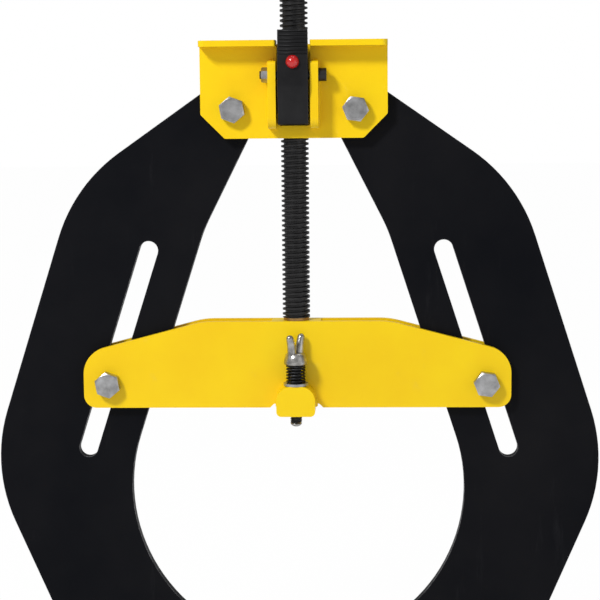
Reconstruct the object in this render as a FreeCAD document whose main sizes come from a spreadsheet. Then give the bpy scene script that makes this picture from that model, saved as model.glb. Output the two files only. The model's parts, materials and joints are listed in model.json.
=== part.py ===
"""Pipe alignment clamp: two swinging jaw arms, a screw-driven crossbar and six levelling screws.

Millimetres. The origin is the centre of the jaws' inner circle in the arms' mid-plane,
+Z runs up the lead screw, +X is to the right and -Y is the side with the release lever.
"""
import FreeCAD, Part
import math
import os

Vector = FreeCAD.Vector
doc = FreeCAD.newDocument("PipeAlignmentClamp")
sheet = doc.addObject("Spreadsheet::Sheet", "Sizes")

SIZES = [
    ("jaw_radius", 171.0), ("arm_thick", 10.0), ("plate_thick", 6.0), ("plate_gap", 17.0),
    ("pivot_x", 61.5), ("pivot_z", 387.5), ("pin_x", 192.5), ("pin_z", 110.0),
    ("jaw_slope", 18.0), ("outer_line", 310.0), ("lower_line", 285.0), ("lower_slope", -23.1),
    ("under_line", 240.0), ("under_slope", -67.5), ("shoulder_line", 385.0),
    ("shoulder_slope", 55.1), ("neck_line", 203.4), ("neck_slope", 26.8),
    ("neck_knee", 150.0), ("outer_knee", 167.0), ("heel_radius", 70.0),
    ("eye_radius", 29.0), ("eye_corner", 24.0), ("tip_angle", 20.0), ("tip_x", 60.0),
    ("tip_corner", 12.0), ("slot_width", 19.2), ("slot_bias", 1.27),
    ("slot_top_z", 246.0), ("slot_low_z", 42.0), ("pin_radius", 8.0), ("bolt_radius", 7.95),
    ("bush_radius", 10.0), ("arm_bore", 10.05), ("washer_radius", 17.0),
    ("hex_radius", 13.4), ("head_high", 10.0), ("nut_high", 14.8), ("nut_washer", 3.0),
    ("bracket_thick", 8.0), ("bracket_half", 93.5), ("bracket_low", 358.8), ("bracket_top", 455.5),
    ("bracket_chamfer", 24.0), ("window_half", 17.0), ("window_low", 371.3), ("window_corner", 4.0),
    ("flange_deep", 36.0), ("back_flange", 32.0), ("back_window", 24.0), ("guide_half", 24.0),
    ("guide_low", 371.3), ("guide_top", 452.0), ("guide_bore", 14.3), ("guide_front", 8.5),
    ("ear_thick", 8.0), ("ear_deep", 36.0), ("ear_low", 368.5), ("ear_top", 435.0),
    ("ear_corner", 10.0), ("lever_pin_y", 27.0), ("lever_pin_z", 421.5),
    ("lever_half", 14.8), ("lever_pin_radius", 4.0), ("nut_half", 14.0),
    ("nut_low", 375.0), ("nut_top", 400.0), ("nut_bore", 14.35), ("nut_back", 20.0),
    ("nut_front", 9.2), ("bar_half", 217.7), ("bar_low", 85.5), ("bar_top", 174.0),
    ("bar_flat", 95.0), ("bar_slope", 14.7), ("bar_knuckle", 80.0), ("bar_end", 28.0),
    ("bar_toe", 13.0), ("relief_half", 27.0), ("relief_deep", 4.0),
    ("block_half", 25.0), ("block_low", 120.0), ("journal_radius", 6.0),
    ("screw_radius", 14.0), ("thread_deep", 2.75), ("thread_pitch", 5.0),
    ("screw_low", 177.0), ("screw_top", 530.0), ("hub_radius", 19.0), ("hub_top", 575.0),
    ("handle_z", 556.0), ("handle_radius", 7.0), ("handle_long", 220.0),
    ("spigot_radius", 9.0), ("spigot_high", 14.0), ("hub_pin_radius", 2.5), ("fit", 0.05),
    ("lug_half", 19.5), ("lug_high", 30.5), ("lug_foot", 5.0), ("lug_arch", 15.0),
    ("lug_out", 39.5), ("lug_drop", 5.0),
    ("stud_out", 28.0), ("stud_radius", 6.0), ("stud_reach", 12.0), ("tip_lug_angle", 30.0),
    ("tip_lug_radius", 170.0), ("seat_washer", 12.5), ("seat_low", 30.5), ("seat_top", 33.0),
    ("spring_low", 33.0), ("spring_top", 51.5), ("spring_radius", 9.0), ("spring_wire", 1.0),
    ("spring_turns", 7.0), ("wing_low", 51.5), ("wing_hub", 12.0), ("wing_deck", 62.5),
    ("wing_top", 82.5), ("wing_thick", 7.0), ("wing_taper", 2.0), ("ear_sink", 3.0),
    ("ear_root_in", 1.5), ("ear_crotch", 3.0), ("ear_crotch_high", 4.0), ("ear_tip_in", 4.5),
    ("ear_tip_out", 12.4), ("ear_side", 11.0), ("ear_root_out", 9.5), ("ear_tip_corner", 3.5),
    ("dome_wide", 0.7), ("dome_rise", 1.5), ("dome_high", 4.0), ("rib_out", 0.6),
    ("rib_in", 0.4), ("lever_low", 372.5), ("lever_top", 465.5), ("lever_foot_y", 33.0),
    ("lever_belly_y", 41.0), ("lever_belly_z", 410.0), ("lever_belly_corner", 14.0),
    ("lever_waist_y", 39.5), ("lever_waist_z", 440.0), ("lever_bend_corner", 8.0),
    ("lever_tip_y", 37.0), ("lever_tip_back_y", 28.0), ("lever_neck_y", 26.0),
    ("lever_neck_z", 436.0), ("lever_heel_z", 430.0), ("cap_radius", 6.6), ("cap_y", 39.6),
    ("cap_z", 434.0), ("lever_head_radius", 6.5), ("lever_head_high", 8.0),
    ("lever_nut_radius", 7.5), ("lever_nut_high", 6.5), ("journal_low", 112.0),
    ("thread_angle", 15.0), ("thread_crest", 1.83), ("thread_end", 2.0), ("ring_wall", 2.2),
    ("ring_fit", 0.02), ("ring_high", 4.9), ("ring_drop", 5.0), ("handle_end_wall", 3.0),
    ("handle_end_long", 10.0), ("socket_spare", 1.2), ("drill_long", 60.0), ("over", 1.0),
    ("gap", 0.1), ("hex_face", 0.84), ("hex_chamfer", 1.7), ("edge_corner", 3.0),
    ("flange_corner", 6.0), ("flange_in_corner", 2.0), ("ear_top_corner", 4.0),
    ("bolt_spare", 3.0), ("left_spin", 20.0), ("right_spin", 8.0), ("nut_spin", 14.0),
    ("bar_wing_spin", 52.0), ("jaw_wing_spin", 25.0),
]
for row, (alias, value) in enumerate(SIZES, start=1):
    sheet.set("A%d" % row, alias)
    sheet.set("B%d" % row, str(value))
    sheet.setAlias("B%d" % row, alias)
doc.recompute()

nodes = []


def size(alias):
    """The value of one named size."""
    return float(sheet.get(alias))


def keep(shape_object, name):
    """Name a finished sub-part and list it for export."""
    shape_object.Label = name
    nodes.append((shape_object, name))
    return shape_object


def cross(first, second):
    """Where two lines meet, each given as the angle of its normal and its distance."""
    (a1, d1), (a2, d2) = first, second
    c1, s1 = math.cos(math.radians(a1)), math.sin(math.radians(a1))
    c2, s2 = math.cos(math.radians(a2)), math.sin(math.radians(a2))
    det = c1 * s2 - s1 * c2
    return (d1 * s2 - s1 * d2) / det, (c1 * d2 - d1 * c2) / det


def flat(point):
    return Vector(point[0], point[1], 0)


def rounded(corners, closed=True):
    """Lines and arcs through corners (u, v, radius); an open path keeps its two ends sharp."""
    count = len(corners)
    entry, leave, arcs = [], [], []
    for i, (u, v, radius) in enumerate(corners):
        here = Vector(u, v, 0)
        if radius <= 0 or (not closed and i in (0, count - 1)):
            entry.append(here)
            leave.append(here)
            arcs.append(None)
            continue
        before = (flat(corners[i - 1]) - here).normalize()
        after = (flat(corners[(i + 1) % count]) - here).normalize()
        half = before.getAngle(after) / 2
        reach = radius / math.tan(half)
        middle = (before + after).normalize()
        centre = here + middle * (radius / math.sin(half))
        entry.append(here + before * reach)
        leave.append(here + after * reach)
        arcs.append(centre - middle * radius)
    edges = []
    for i in range(count):
        if arcs[i] is not None:
            edges.append(Part.Arc(entry[i], arcs[i], leave[i]))
        if closed or i < count - 1:
            nxt = (i + 1) % count
            if (entry[nxt] - leave[i]).Length > 1e-6:
                edges.append(Part.LineSegment(leave[i], entry[nxt]))
    return edges


def ring(u, v, radius):
    return Part.Circle(Vector(u, v, 0), Vector(0, 0, 1), radius)


def sketch_on(body, role, edges):
    """A sketch on one of the body's own origin planes."""
    plane = [f for f in body.Origin.OriginFeatures if f.Role == role][0]
    sketch = body.newObject("Sketcher::SketchObject", body.Name + "_sketch")
    sketch.AttachmentSupport = [(plane, "")]
    sketch.MapMode = "FlatFace"
    sketch.addGeometry(edges, False)
    return sketch


def pad(body, role, edges, length):
    """A symmetric pad of a sketch; length is an expression."""
    feature = body.newObject("PartDesign::Pad", body.Name + "_pad")
    feature.Profile = sketch_on(body, role, edges)
    feature.SideType = "Symmetric"
    feature.setExpression("Length", length)
    return feature


def revolve(body, edges):
    """A full turn of a sketch about the body's Z axis."""
    turned = body.newObject("PartDesign::Revolution", body.Name + "_turned")
    outline = sketch_on(body, "XZ_Plane", edges)
    turned.Profile = outline
    turned.ReferenceAxis = (outline, ["V_Axis"])
    turned.Angle = 360
    return turned


def plate(name, edges, length, y_at=None, role="XZ_Plane", axis="y"):
    """A plate of even thickness, moved along one axis by an expression."""
    body = doc.addObject("PartDesign::Body", name)
    pad(body, role, edges, length)
    if y_at is not None:
        body.setExpression("Placement.Base." + axis, y_at)
    return body


def box(name, x, y, z, length, width, height):
    """A block from its low corner; every size is an expression."""
    block = doc.addObject("Part::Box", name)
    for prop, text in (("Length", length), ("Width", width), ("Height", height),
                       ("Placement.Base.x", x), ("Placement.Base.y", y),
                       ("Placement.Base.z", z)):
        block.setExpression(prop, text)
    return block


TURN = {"x": FreeCAD.Rotation(Vector(0, 1, 0), 90), "y": FreeCAD.Rotation(Vector(1, 0, 0), -90),
        "z": FreeCAD.Rotation()}


def rod(name, axis, x, y, z, radius, length):
    """A round bar along an axis from its start point."""
    bar = doc.addObject("Part::Cylinder", name)
    bar.Placement = FreeCAD.Placement(Vector(), TURN[axis])
    for prop, text in (("Radius", radius), ("Height", length), ("Placement.Base.x", x),
                       ("Placement.Base.y", y), ("Placement.Base.z", z)):
        bar.setExpression(prop, text)
    return bar


def hexagon(name, axis, x, y, z, radius, length, spin=0, low_cone=True):
    """A hexagonal prism along an axis, turned by spin, its corners chamfered at one end."""
    prism = doc.addObject("Part::Prism", name)
    prism.Polygon = 6
    own_turn = FreeCAD.Rotation(Vector(0, 0, 1), spin)
    prism.Placement = FreeCAD.Placement(Vector(), TURN[axis].multiply(own_turn))
    cone = doc.addObject("Part::Cone", name + "_cone")
    cone.Placement = FreeCAD.Placement(Vector(), TURN[axis])
    narrow = "%s * Sizes.hex_face" % radius
    wide = "%s + (%s) * Sizes.hex_chamfer" % (narrow, length)
    cone.setExpression("Radius1", narrow if low_cone else wide)
    cone.setExpression("Radius2", wide if low_cone else narrow)
    prism.setExpression("Circumradius", radius)
    for item in (prism, cone):
        for prop, text in (("Height", length), ("Placement.Base.x", x),
                           ("Placement.Base.y", y), ("Placement.Base.z", z)):
            item.setExpression(prop, text)
    head = doc.addObject("Part::MultiCommon", name + "_head")
    head.Shapes = [prism, cone]
    return head


def fuse(name, shapes):
    joined = doc.addObject("Part::MultiFuse", name)
    joined.Shapes = shapes
    joined.Refine = True
    return joined


def group(name, shapes):
    """Separate identical pieces kept together under one name."""
    gathered = doc.addObject("Part::Compound", name)
    gathered.Links = shapes
    return gathered


def cut(name, base, tools):
    result = doc.addObject("Part::Cut", name)
    result.Base = base
    result.Tool = tools[0] if len(tools) == 1 else fuse(name + "_tools", tools)
    return result


def sleeve(name, axis, x, y, z, outer, inner, length):
    """A plain ring or washer."""
    solid = rod(name + "_outer", axis, x, y, z, outer, length)
    return cut(name, solid, [rod(name + "_bore", axis, x, y, z, inner, length)])


def signed(side, alias):
    return ("-" if side < 0 else "") + "Sizes." + alias


def mirrored(corners):
    return [(-u, v, radius) for u, v, radius in corners]


def arm_edges(side):
    """Outline, pivot bore and slanted slot of one jaw arm."""
    neck = (size("neck_slope"), size("neck_line"))
    jaw = (size("jaw_slope"), size("jaw_radius"))
    outer = (size("jaw_slope"), size("outer_line"))
    lower = (size("lower_slope"), size("lower_line"))
    under = (size("under_slope"), size("under_line"))
    shoulder = (size("shoulder_slope"), size("shoulder_line"))
    crown_slope = 90 + (size("neck_slope") + size("shoulder_slope")) / 2
    crown_rad = math.radians(crown_slope)
    crown_line = (size("pivot_x") * math.cos(crown_rad) + size("pivot_z") * math.sin(crown_rad)
                  + size("eye_radius"))
    crown = (crown_slope, crown_line)
    tip = math.radians(size("tip_angle") - 90)
    radius = size("jaw_radius")
    start = (radius * math.cos(tip), radius * math.sin(tip))
    under_rad = math.radians(size("under_slope"))
    foot_z = (size("under_line") - size("tip_x") * math.cos(under_rad)) / math.sin(under_rad)
    top = math.radians(size("jaw_slope"))
    end = (radius * math.cos(top), radius * math.sin(top))
    corners = [start + (0,), (size("tip_x"), foot_z, size("tip_corner")),
               cross(under, lower) + (size("heel_radius"),),
               cross(lower, outer) + (size("outer_knee"),),
               cross(outer, shoulder) + (size("outer_knee"),),
               cross(shoulder, crown) + (size("eye_corner"),),
               cross(crown, neck) + (size("eye_corner"),),
               cross(neck, jaw) + (size("neck_knee"),), end + (0,)]
    middle = math.radians((size("jaw_slope") + size("tip_angle") - 90) / 2)
    mid = (radius * math.cos(middle), radius * math.sin(middle))
    if side < 0:
        corners = mirrored(corners)
    edges = rounded(corners, closed=False)
    edges.append(Part.Arc(Vector(side * end[0], end[1], 0), Vector(side * mid[0], mid[1], 0),
                          Vector(side * start[0], start[1], 0)))
    edges.append(ring(side * size("pivot_x"), size("pivot_z"), size("arm_bore")))
    return edges + slot_edges(side)


def slot_edges(side):
    """A round-ended slot whose centre line leans with the jaw's straight."""
    lean = math.radians(size("jaw_slope"))
    line = (size("pin_x") * math.cos(lean) + size("pin_z") * math.sin(lean) + size("slot_bias"))
    half = size("slot_width") / 2
    normal = Vector(side * math.cos(lean), math.sin(lean), 0)
    along = Vector(-side * math.sin(lean), math.cos(lean), 0)

    def centre(z):
        return Vector(side * (line - z * math.sin(lean)) / math.cos(lean), z, 0)

    high, low = centre(size("slot_top_z")), centre(size("slot_low_z"))
    out, back = normal * half, along * half
    return [Part.LineSegment(low + out, high + out),
            Part.Arc(high + out, high + back, high - out),
            Part.LineSegment(high - out, low - out),
            Part.Arc(low - out, low - back, low + out)]


def lug(name, side_y, x, z, angle, inner_face):
    """A tombstone lug drilled for a levelling screw; angle turns it about the Y axis."""
    half, high = size("lug_half"), size("lug_high")
    foot, arch = size("lug_foot"), size("lug_arch")
    edges = rounded([(-half, 0, foot), (half, 0, foot), (half, high, arch), (-half, high, arch)])
    body = doc.addObject("PartDesign::Body", name + "_blank")
    pad(body, "XZ_Plane", edges, "Sizes.lug_out - (%s)" % inner_face)
    body.setExpression("Placement.Base.y",
                       "%d * (Sizes.lug_out + (%s)) / 2" % (side_y, inner_face))
    hole = rod(name + "_hole", "z", "0", "%d * Sizes.stud_out" % side_y, "-Sizes.over",
               "Sizes.stud_radius + Sizes.fit", "Sizes.lug_high + 2 * Sizes.over")
    lug_body = cut(name, body, [hole])
    lug_body.Placement = FreeCAD.Placement(Vector(x, 0, z),
                                           FreeCAD.Rotation(Vector(0, 1, 0), angle))
    return lug_body


def wing_screw(name, side_y, x, z, angle, spin):
    """A domed stud with a rabbit-ear head."""
    radius, hub = size("stud_radius"), size("wing_hub")
    reach, deck, low = -size("stud_reach"), size("wing_deck"), size("wing_low")
    shoulder, top_radius = reach + size("dome_high"), hub - size("wing_taper")
    dome_side = Vector(radius * size("dome_wide"), reach + size("dome_rise"), 0)
    profile = [Part.Arc(Vector(0, reach, 0), dome_side, Vector(radius, shoulder, 0)),
               Part.LineSegment(Vector(radius, shoulder, 0), Vector(radius, low, 0)),
               Part.LineSegment(Vector(radius, low, 0), Vector(hub, low, 0)),
               Part.LineSegment(Vector(hub, low, 0), Vector(top_radius, deck, 0)),
               Part.LineSegment(Vector(top_radius, deck, 0), Vector(0, deck, 0)),
               Part.LineSegment(Vector(0, deck, 0), Vector(0, reach, 0))]
    body = doc.addObject("PartDesign::Body", name)
    revolve(body, profile)
    top, root = size("wing_top"), deck - size("ear_sink")
    corner = size("ear_tip_corner")
    ears = []
    for way in (-1, 1):
        corners = [(way * size("ear_root_in"), root, 0),
                   (way * size("ear_crotch"), deck + size("ear_crotch_high"), corner),
                   (way * size("ear_tip_in"), top, corner),
                   (way * size("ear_tip_out"), top, corner),
                   (way * size("ear_side"), deck + size("over"), corner),
                   (way * size("ear_root_out"), root, 0)]
        ears += rounded(corners if way > 0 else corners[::-1])
    pad(body, "XZ_Plane", ears, "Sizes.wing_thick")
    own_turn = FreeCAD.Placement(Vector(), FreeCAD.Rotation(Vector(0, 0, 1), spin))
    body.Placement = set_place(side_y, x, z, angle).multiply(own_turn)
    return body


def set_place(side_y, x, z, angle):
    """Where a levelling screw's own frame sits."""
    turn = FreeCAD.Rotation(Vector(0, 1, 0), angle)
    return FreeCAD.Placement(Vector(x, side_y * size("stud_out"), z), turn)


def coil(name, side_y, x, z, angle):
    """A compression spring as a ribbed sleeve, one rib for each turn of its wire."""
    low, high, wire = size("spring_low"), size("spring_top"), size("spring_wire")
    middle, turns = size("spring_radius"), int(size("spring_turns"))
    pitch = (high - low) / turns
    swell, dip = size("rib_out"), -size("rib_in")
    ribs = ((0.1, dip), (0.25, swell), (0.4, 1.0), (0.6, 1.0), (0.75, swell), (0.9, dip))
    points = [(middle - wire, low)]
    for turn in range(turns):
        points += [(middle + wire * out, low + pitch * (turn + share)) for share, out in ribs]
    points.append((middle - wire, high))
    vectors = [Vector(u, v, 0) for u, v in points]
    edges = [Part.LineSegment(a, b) for a, b in zip(vectors, vectors[1:] + vectors[:1])]
    body = doc.addObject("PartDesign::Body", name)
    revolve(body, edges)
    body.Placement = set_place(side_y, x, z, angle)
    return body


def seat(name, side_y, x, z, angle):
    """The washer a levelling spring bears on."""
    washer = sleeve(name, "z", "0", "0", "0", "Sizes.seat_washer",
                    "Sizes.stud_radius + Sizes.fit", "Sizes.seat_top - Sizes.seat_low")
    base = set_place(side_y, x, z, angle)
    washer.Placement = base.multiply(FreeCAD.Placement(Vector(0, 0, size("seat_low")),
                                                     FreeCAD.Rotation()))
    return washer


def levelling(owner, x, z, angle, inner_face, spin):
    """The front and back levelling screws at one place, with lugs, washers and springs."""
    lugs, seats = [], []
    for side_y, word in ((-1, "front"), (1, "back")):
        lugs.append(keep(lug("%s_lug_%s" % (owner, word), side_y, x, z, angle, inner_face),
                         "%s_lug_%s" % (owner, word)))
        seats.append(seat("%s_seat_%s" % (owner, word), side_y, x, z, angle))
        keep(coil("%s_spring_%s" % (owner, word), side_y, x, z, angle),
             "%s_spring_%s" % (owner, word))
        keep(wing_screw("%s_wing_screw_%s" % (owner, word), side_y, x, z, angle, spin),
             "%s_wing_screw_%s" % (owner, word))
    keep(group(owner + "_seat_washers", seats), owner + "_seat_washers")


def make_arm(side, word):
    """A jaw arm with its two levelling screws."""
    arm = plate("jaw_arm_" + word, arm_edges(side), "Sizes.arm_thick")
    keep(arm, "jaw_arm_" + word)
    lean = math.radians(size("tip_lug_angle"))
    reach = size("tip_lug_radius")
    x, z = side * reach * math.sin(lean), -reach * math.cos(lean)
    levelling("jaw_" + word, x, z, side * (180 - size("tip_lug_angle")), "Sizes.arm_thick / 2",
              side * size("jaw_wing_spin"))


def bracket_face(half, window, corner):
    """The bracket plate with its chamfered lower corners and open window."""
    low, top, chamfer = size("bracket_low"), size("bracket_top"), size("bracket_chamfer")
    sill, blunt = size("window_low"), size("edge_corner")
    corners = [(-half + chamfer, low, blunt), (half - chamfer, low, blunt),
               (half, low + chamfer, blunt), (half, top, 0), (window, top, 0),
               (window, sill, corner), (-window, sill, corner), (-window, top, 0),
               (-half, top, 0), (-half, low + chamfer, blunt)]
    edges = rounded(corners)
    for side in (-1, 1):
        edges.append(ring(side * size("pivot_x"), size("pivot_z"), size("pin_radius")))
    return edges


def flange_face(half, deep, window, side_y):
    """The folded top flange seen from above."""
    inner = size("plate_gap") / 2
    corners = [(-half, side_y * inner, 0), (-half, side_y * deep, size("flange_corner")),
               (-window, side_y * deep, size("flange_in_corner")), (-window, side_y * inner, 0)]
    edges = rounded(corners)
    return edges + rounded(mirrored(corners)[::-1])


def screw_relief(name):
    """Clearance for the screw where it passes behind a plate's sill."""
    return rod(name, "z", "0", "0", "Sizes.bracket_low - Sizes.over", "Sizes.guide_bore",
               "Sizes.bracket_top - Sizes.bracket_low + 2 * Sizes.over")


def make_bracket():
    """Folded front and back plates, the ears, and the block that guides the screw."""
    middle = "(Sizes.plate_gap + Sizes.bracket_thick) / 2"
    half, window = size("bracket_half"), size("window_half")
    front = plate("front_face", bracket_face(half, window, size("window_corner")),
                  "Sizes.bracket_thick", "-" + middle)
    shelf = plate("front_shelf", flange_face(half, size("flange_deep"), window, -1),
                  "Sizes.plate_thick", "Sizes.bracket_top - Sizes.plate_thick / 2",
                  role="XY_Plane", axis="z")
    folded = fuse("front_folded", [front, shelf])
    keep(cut("bracket_front", folded, [screw_relief("front_relief")]), "bracket_front")
    wide = size("back_window")
    back = plate("back_face", bracket_face(half, wide, 0), "Sizes.bracket_thick", middle)
    shelf = plate("back_shelf", flange_face(half, size("back_flange"), wide, 1),
                  "Sizes.plate_thick", "Sizes.bracket_top - Sizes.plate_thick / 2",
                  role="XY_Plane", axis="z")
    folded = fuse("back_folded", [back, shelf])
    keep(cut("bracket_back", folded, [screw_relief("back_relief")]), "bracket_back")
    block = box("guide_blank", "-Sizes.guide_half", "-Sizes.guide_front", "Sizes.guide_low",
                "2 * Sizes.guide_half", "Sizes.guide_front + Sizes.guide_half",
                "Sizes.guide_top - Sizes.guide_low")
    bore = rod("guide_bore", "z", "0", "0", "Sizes.guide_low - Sizes.over", "Sizes.guide_bore",
               "Sizes.guide_top - Sizes.guide_low + 2 * Sizes.over")
    throat = box("guide_throat", "-Sizes.guide_bore", "-Sizes.guide_front - Sizes.over",
                 "Sizes.guide_low - Sizes.over", "2 * Sizes.guide_bore",
                 "Sizes.guide_front + Sizes.over",
                 "Sizes.guide_top - Sizes.guide_low + 2 * Sizes.over")
    keep(cut("screw_guide", block, [bore, throat]), "screw_guide")
    for side, word in ((-1, "left"), (1, "right")):
        make_ear(side, word)


def make_ear(side, word):
    """A welded ear that carries the lever bolt."""
    face = size("plate_gap") / 2 + size("bracket_thick")
    deep, low, top = size("ear_deep"), size("ear_low"), size("ear_top")
    edges = rounded([(-face, low, 0), (-face, top, 0), (-deep, top, size("ear_top_corner")),
                     (-deep, low, size("ear_corner"))])
    edges.append(ring(-size("lever_pin_y"), size("lever_pin_z"),
                      size("lever_pin_radius") + size("fit")))
    ear = plate("ear_" + word, edges, "Sizes.ear_thick",
                "%d * (Sizes.window_half + Sizes.ear_thick / 2)" % side, role="YZ_Plane", axis="x")
    keep(ear, "lever_ear_" + word)


def bolts(prefix, x_alias, z_alias, spacer_bore, thick):
    """A pair of hexagon bolts with nuts and washers through both plates."""
    made, nuts, washers = [], [], []
    face = "Sizes.plate_gap / 2 + " + thick
    for side, word in ((-1, "left"), (1, "right")):
        x, z = signed(side, x_alias), "Sizes." + z_alias
        tag = prefix + "_" + word
        head = hexagon(tag + "_head", "y", x, "-(%s) - Sizes.head_high" % face, z,
                       "Sizes.hex_radius", "Sizes.head_high", spin=size(word + "_spin"))
        shank = rod(tag + "_shank", "y", x, "-(%s)" % face, z, "Sizes.bolt_radius",
                    "2 * (%s) + Sizes.nut_washer + Sizes.nut_high + Sizes.bolt_spare" % face)
        made.append(fuse(tag + "_bolt", [head, shank]))
        washers.append(sleeve(tag + "_washer", "y", x, face, z, "Sizes.washer_radius - 1",
                              "Sizes.pin_radius", "Sizes.nut_washer"))
        nut = hexagon(tag + "_nut_blank", "y", x, face + " + Sizes.nut_washer", z,
                      "Sizes.hex_radius", "Sizes.nut_high", spin=size("nut_spin"),
                      low_cone=False)
        hole = rod(tag + "_nut_hole", "y", x, face, z, "Sizes.pin_radius",
                   "Sizes.nut_washer + Sizes.nut_high + Sizes.over")
        nuts.append(cut(tag + "_nut", nut, [hole]))
    keep(group(prefix + "_bolts", made), prefix + "_bolts")
    keep(group(prefix + "_nuts", nuts), prefix + "_nuts")
    keep(group(prefix + "_nut_washers", washers), prefix + "_nut_washers")
    spacers(prefix, x_alias, z_alias, spacer_bore)


def spacers(prefix, x_alias, z_alias, bore):
    """Thin rings that centre the arms between the plates."""
    made = []
    for side in (-1, 1):
        for way, word in ((-1, "front"), (1, "back")):
            start = "Sizes.arm_thick / 2 + Sizes.gap" if way > 0 else "-Sizes.plate_gap / 2"
            made.append(sleeve("%s_spacer_%d_%s" % (prefix, side + 1, word), "y",
                               signed(side, x_alias), start, "Sizes." + z_alias,
                               "Sizes.washer_radius", bore,
                               "(Sizes.plate_gap - Sizes.arm_thick) / 2 - Sizes.gap"))
    keep(group(prefix + "_spacers", made), prefix + "_spacers")


def make_bushes():
    made = []
    for side, word in ((-1, "left"), (1, "right")):
        made.append(sleeve("bush_" + word, "y", signed(side, "pivot_x"), "-Sizes.plate_gap / 2",
                           "Sizes.pivot_z", "Sizes.bush_radius", "Sizes.pin_radius",
                           "Sizes.plate_gap"))
    keep(group("pivot_bushes", made), "pivot_bushes")


def make_lever():
    """The release lever, its half nut, cap, bolt and nut."""
    back, pin_y, pin_z = size("nut_back"), size("lever_pin_y"), size("lever_pin_z")
    blunt, bend = size("edge_corner"), size("lever_bend_corner")
    low, top = size("lever_low"), size("lever_top")
    edges = rounded([(-back, low, size("over")), (-size("lever_foot_y"), low, blunt),
                     (-size("lever_belly_y"), size("lever_belly_z"), size("lever_belly_corner")),
                     (-size("lever_waist_y"), size("lever_waist_z"), bend),
                     (-size("lever_tip_y"), top, blunt), (-size("lever_tip_back_y"), top, blunt),
                     (-size("lever_neck_y"), size("lever_neck_z"), bend),
                     (-back, size("lever_heel_z"), blunt)])
    edges.append(ring(-pin_y, pin_z, size("lever_pin_radius") + size("fit")))
    lever = plate("release_lever", edges, "2 * Sizes.lever_half", role="YZ_Plane")
    keep(lever, "release_lever")
    block = box("half_nut_blank", "-Sizes.nut_half", "-Sizes.nut_back", "Sizes.nut_low",
                "2 * Sizes.nut_half", "Sizes.nut_back - Sizes.nut_front",
                "Sizes.nut_top - Sizes.nut_low")
    bore = rod("half_nut_bore", "z", "0", "0", "Sizes.nut_low - Sizes.over", "Sizes.nut_bore",
               "Sizes.nut_top - Sizes.nut_low + 2 * Sizes.over")
    keep(cut("half_nut", block, [bore]), "half_nut")
    cap = doc.addObject("Part::Sphere", "cap_ball")
    for prop, text in (("Radius", "Sizes.cap_radius"), ("Placement.Base.y", "-Sizes.cap_y"),
                       ("Placement.Base.z", "Sizes.cap_z")):
        cap.setExpression(prop, text)
    wide = "4 * Sizes.cap_radius"
    trim = box("cap_trim", "-2 * Sizes.cap_radius", "-Sizes.cap_y",
               "Sizes.cap_z - 2 * Sizes.cap_radius", wide, wide, wide)
    keep(cut("red_cap", cap, [trim]), "red_cap")
    outer = "Sizes.window_half + Sizes.ear_thick"
    y, z = "-Sizes.lever_pin_y", "Sizes.lever_pin_z"
    shank = rod("lever_shank", "x", "-(%s) - Sizes.lever_head_high" % outer, y, z,
                "Sizes.lever_pin_radius", "2 * (%s) + Sizes.lever_head_high" % outer)
    head = rod("lever_head", "x", outer, y, z, "Sizes.lever_head_radius", "Sizes.lever_head_high")
    keep(fuse("lever_bolt", [shank, head]), "lever_bolt")
    nut = hexagon("lever_nut_blank", "x", "-(%s) - Sizes.lever_nut_high" % outer, y, z,
                  "Sizes.lever_nut_radius", "Sizes.lever_nut_high")
    hole = rod("lever_nut_hole", "x", "-(%s) - Sizes.lever_head_high" % outer, y, z,
               "Sizes.lever_pin_radius + Sizes.fit", "Sizes.lever_head_high + Sizes.over")
    keep(cut("lever_nut", nut, [hole]), "lever_nut")


def bar_edges():
    """The crossbar plate outline with its two pin holes."""
    half, low, top = size("bar_half"), size("bar_low"), size("bar_top")
    flat_half = size("bar_flat")
    drop = (half - flat_half) * math.tan(math.radians(size("bar_slope")))
    relief, deep = size("relief_half"), size("relief_deep")
    right = [(relief, low, 0), (half, low, size("bar_toe")), (half, top - drop, size("bar_end")),
             (flat_half, top, size("bar_knuckle"))]
    left = mirrored(right)[::-1]
    blunt = size("edge_corner")
    notch = [(-relief + deep, low + deep, blunt), (relief - deep, low + deep, blunt)]
    edges = rounded(notch + right + left)
    for side in (-1, 1):
        edges.append(ring(side * size("pin_x"), size("pin_z"), size("pin_radius")))
    return edges


def make_crossbar():
    """Two plates either side of the arms, with the block that carries the screw's journal."""
    middle = "(Sizes.plate_gap + Sizes.plate_thick) / 2"
    keep(plate("crossbar_front", bar_edges(), "Sizes.plate_thick", "-" + middle), "crossbar_front")
    keep(plate("crossbar_back", bar_edges(), "Sizes.plate_thick", middle), "crossbar_back")
    block = box("thrust_blank", "-Sizes.block_half", "-Sizes.plate_gap / 2", "Sizes.block_low",
                "2 * Sizes.block_half", "Sizes.plate_gap", "Sizes.bar_top - Sizes.block_low")
    bore = rod("thrust_bore", "z", "0", "0", "Sizes.block_low - Sizes.over",
               "Sizes.journal_radius + Sizes.fit",
               "Sizes.bar_top - Sizes.block_low + 2 * Sizes.over")
    keep(cut("thrust_block", block, [bore]), "thrust_block")
    keep(sleeve("thrust_washer", "z", "0", "0", "Sizes.bar_top", "Sizes.screw_radius - 1",
                "Sizes.journal_radius + Sizes.fit",
                "Sizes.screw_low - Sizes.bar_top - Sizes.gap"), "thrust_washer")
    face = "Sizes.plate_gap / 2 + Sizes.plate_thick"
    levelling("crossbar", 0, size("bar_low") - size("lug_drop"), 0, face,
              size("bar_wing_spin"))


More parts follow.
